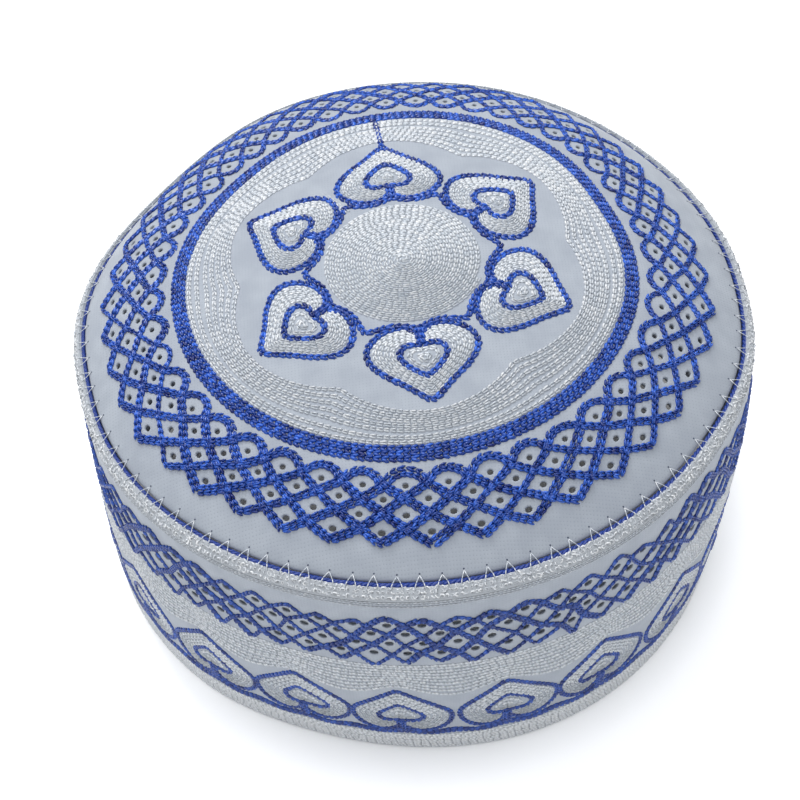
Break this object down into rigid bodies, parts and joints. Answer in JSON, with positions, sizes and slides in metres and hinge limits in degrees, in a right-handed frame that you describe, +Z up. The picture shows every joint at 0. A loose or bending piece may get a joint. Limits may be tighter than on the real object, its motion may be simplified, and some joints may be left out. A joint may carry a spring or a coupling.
{
  "type": "kufi",
  "caption": "Round white cotton cap with a domed crown and a tall side band, embroidered in blue with hearts, pierced lattices and chain rows.",
  "frame": {"origin": "middle of the cap's box, on the plane its rim rests on", "axes": "+Z up through the crown, -Y towards the front"},
  "size_m": [0.1882, 0.1882, 0.1062],
  "materials": {
    "crown_cloth": "woven cotton",
    "band_cloth": "woven cotton",
    "blue_thread": "twisted cotton thread",
    "white_thread": "twisted cotton thread"
  },
  "bodies": {
    "root": {"crown": "crown_cloth", "side_band": "band_cloth", "seam_cord": "blue_thread", "edge_braid": "white_thread"}
  },
  "joints": []
}
